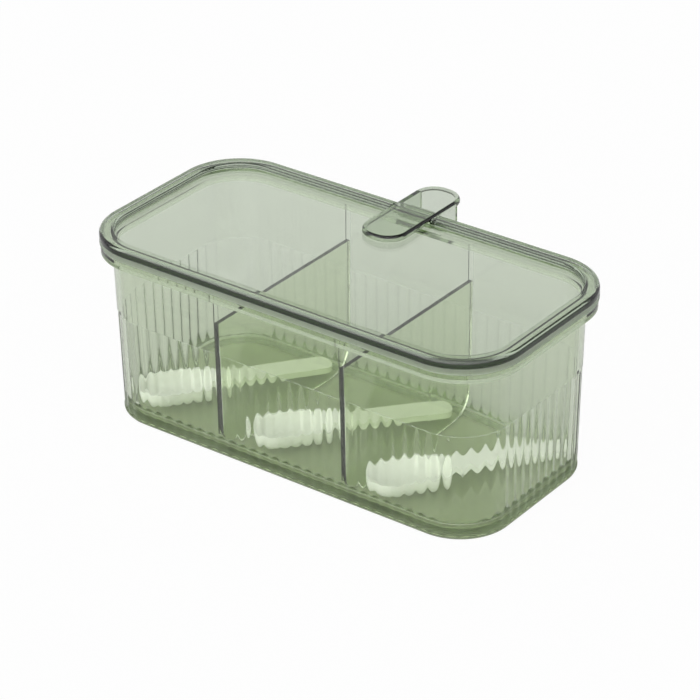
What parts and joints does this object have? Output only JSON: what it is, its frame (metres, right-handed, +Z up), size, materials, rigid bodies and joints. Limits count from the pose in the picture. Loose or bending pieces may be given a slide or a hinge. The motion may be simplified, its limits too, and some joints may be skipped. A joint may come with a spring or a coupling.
{
  "type": "spice box",
  "caption": "Clear green spice box: a fluted tub with lift-out dividers making compartments, a rear-hinged tray lid worked by a press tab, and a white spoon in each compartment.",
  "frame": {"origin": "centre of the tub's flat underside", "axes": "+X along the box to the right, +Y to the rear where the hinge is, +Z up"},
  "size_m": [0.22, 0.1338, 0.0914],
  "materials": {
    "clear_tub": "clear, tinted green",
    "clear_lid": "clear, tinted pale green",
    "white_plastic": "satin white"
  },
  "bodies": {
    "box": {"tub": "clear_tub", "hinge_pin": "clear_lid"},
    "cover": {"lid": "clear_lid", "press_tab": "clear_lid"},
    "divider_left": {"left_divider": "clear_tub"},
    "divider_right": {"right_divider": "clear_tub"},
    "spoon_left": {"left_spoon": "white_plastic"},
    "spoon_middle": {"middle_spoon": "white_plastic"},
    "spoon_right": {"right_spoon": "white_plastic"}
  },
  "joints": [
    {"name": "lid_hinge", "type": "hinge", "parent": "box", "child": "cover", "pos_m": [0, 0.0605, 0.082], "axis": [-1, 0, 0], "range_deg": [0, 100]},
    {"name": "left_divider_lift", "type": "slide", "parent": "box", "child": "divider_left", "axis": [0, 0, 1], "range_m": [0, 0.017]},
    {"name": "right_divider_lift", "type": "slide", "parent": "box", "child": "divider_right", "axis": [0, 0, 1], "range_m": [0, 0.017]},
    {"name": "left_spoon_lift", "type": "slide", "parent": "box", "child": "spoon_left", "axis": [0, 0, 1], "range_m": [0, 0.065]},
    {"name": "middle_spoon_lift", "type": "slide", "parent": "box", "child": "spoon_middle", "axis": [0, 0, 1], "range_m": [0, 0.065]},
    {"name": "right_spoon_lift", "type": "slide", "parent": "box", "child": "spoon_right", "axis": [0, 0, 1], "range_m": [0, 0.065]}
  ]
}
